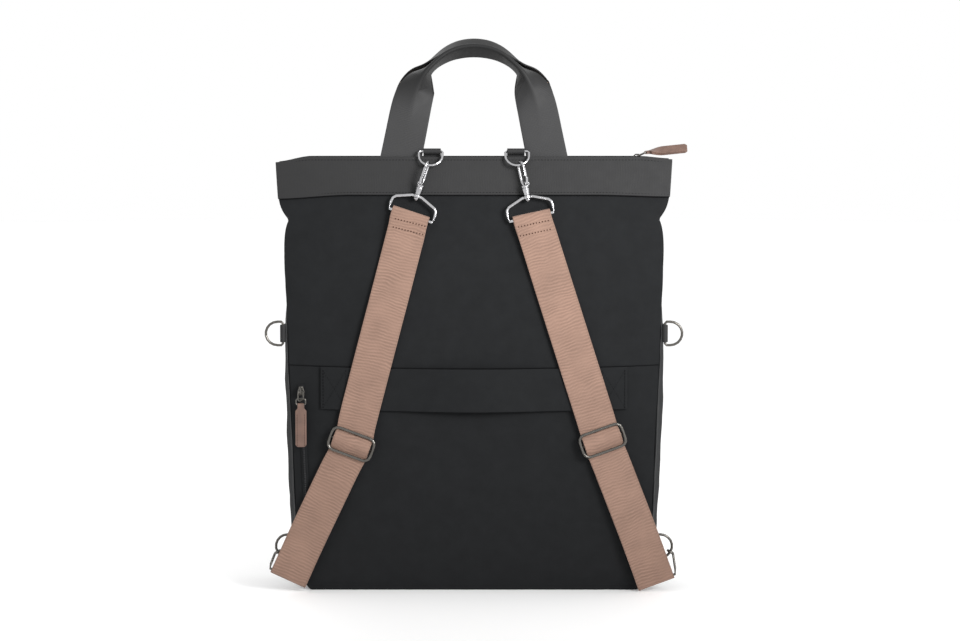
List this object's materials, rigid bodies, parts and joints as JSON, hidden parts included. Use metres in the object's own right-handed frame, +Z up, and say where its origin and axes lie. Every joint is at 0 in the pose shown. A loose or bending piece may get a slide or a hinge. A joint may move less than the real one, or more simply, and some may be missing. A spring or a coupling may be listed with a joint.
{
  "type": "convertible backpack",
  "caption": "Convertible fabric tote and backpack with webbing handles, a zipped top, a trolley sleeve and clip-on shoulder straps.",
  "frame": {"origin": "middle of the flat base's underside, where the bag stands", "axes": "+X to the bag's right as the face with the straps is seen, +Y away from that face, +Z up from the base to the handles"},
  "size_m": [0.4224, 0.1335, 0.5516],
  "materials": {
    "fabric": "matt",
    "webbing": "matt",
    "lining": "matt",
    "strap_webbing": "matt",
    "leather": "satin",
    "chrome": "polished",
    "gunmetal": "satin",
    "zip_cloth": "matt"
  },
  "bodies": {
    "bag": {"back_upper_panel": "fabric", "back_lower_panel": "fabric", "front_panel": "fabric", "gusset_left": "fabric", "gusset_right": "fabric", "base_panel": "fabric", "trolley_sleeve": "fabric", "band_back": "webbing", "band_front": "webbing", "top_zip_tape": "zip_cloth", "top_zip_chain": "zip_cloth", "pocket_zip_tape": "zip_cloth", "top_zip_slider": "gunmetal", "top_zip_link": "gunmetal", "pocket_zip_slider": "gunmetal", "pocket_zip_link": "gunmetal", "pocket_zip_ring": "gunmetal", "top_zip_pull": "leather", "pocket_zip_pull": "leather", "handle_back": "webbing", "handle_back_lining_left": "lining", "handle_back_lining_right": "lining", "handle_front": "webbing", "handle_front_lining_left": "lining", "handle_front_lining_right": "lining", "top_tab_left": "webbing", "side_tab_left": "webbing", "low_tab_left": "webbing", "top_ring_left": "chrome", "hook_left": "chrome", "hook_frame_left": "chrome", "side_ring_left": "gunmetal", "low_ring_left": "gunmetal", "strap_slider_left": "gunmetal", "low_hook_left": "gunmetal", "shoulder_strap_left": "strap_webbing", "top_tab_right": "webbing", "side_tab_right": "webbing", "low_tab_right": "webbing", "top_ring_right": "chrome", "hook_right": "chrome", "hook_frame_right": "chrome", "side_ring_right": "gunmetal", "low_ring_right": "gunmetal", "strap_slider_right": "gunmetal", "low_hook_right": "gunmetal", "shoulder_strap_right": "strap_webbing"},
    "gate_left": {"hook_gate_left": "chrome"},
    "gate_right": {"hook_gate_right": "chrome"}
  },
  "joints": [
    {"name": "gate_left_swing", "type": "hinge", "parent": "bag", "child": "gate_left", "pos_m": [-0.0528, -0.04398, 0.40788], "axis": [-0.9296, 0.2405, 0.2792], "range_deg": [0, 20], "stiffness_Nm_per_rad": 0.02},
    {"name": "gate_right_swing", "type": "hinge", "parent": "bag", "child": "gate_right", "pos_m": [0.05196, -0.04367, 0.40748], "axis": [-0.842, -0.5264, -0.1179], "range_deg": [0, 20], "stiffness_Nm_per_rad": 0.02}
  ]
}
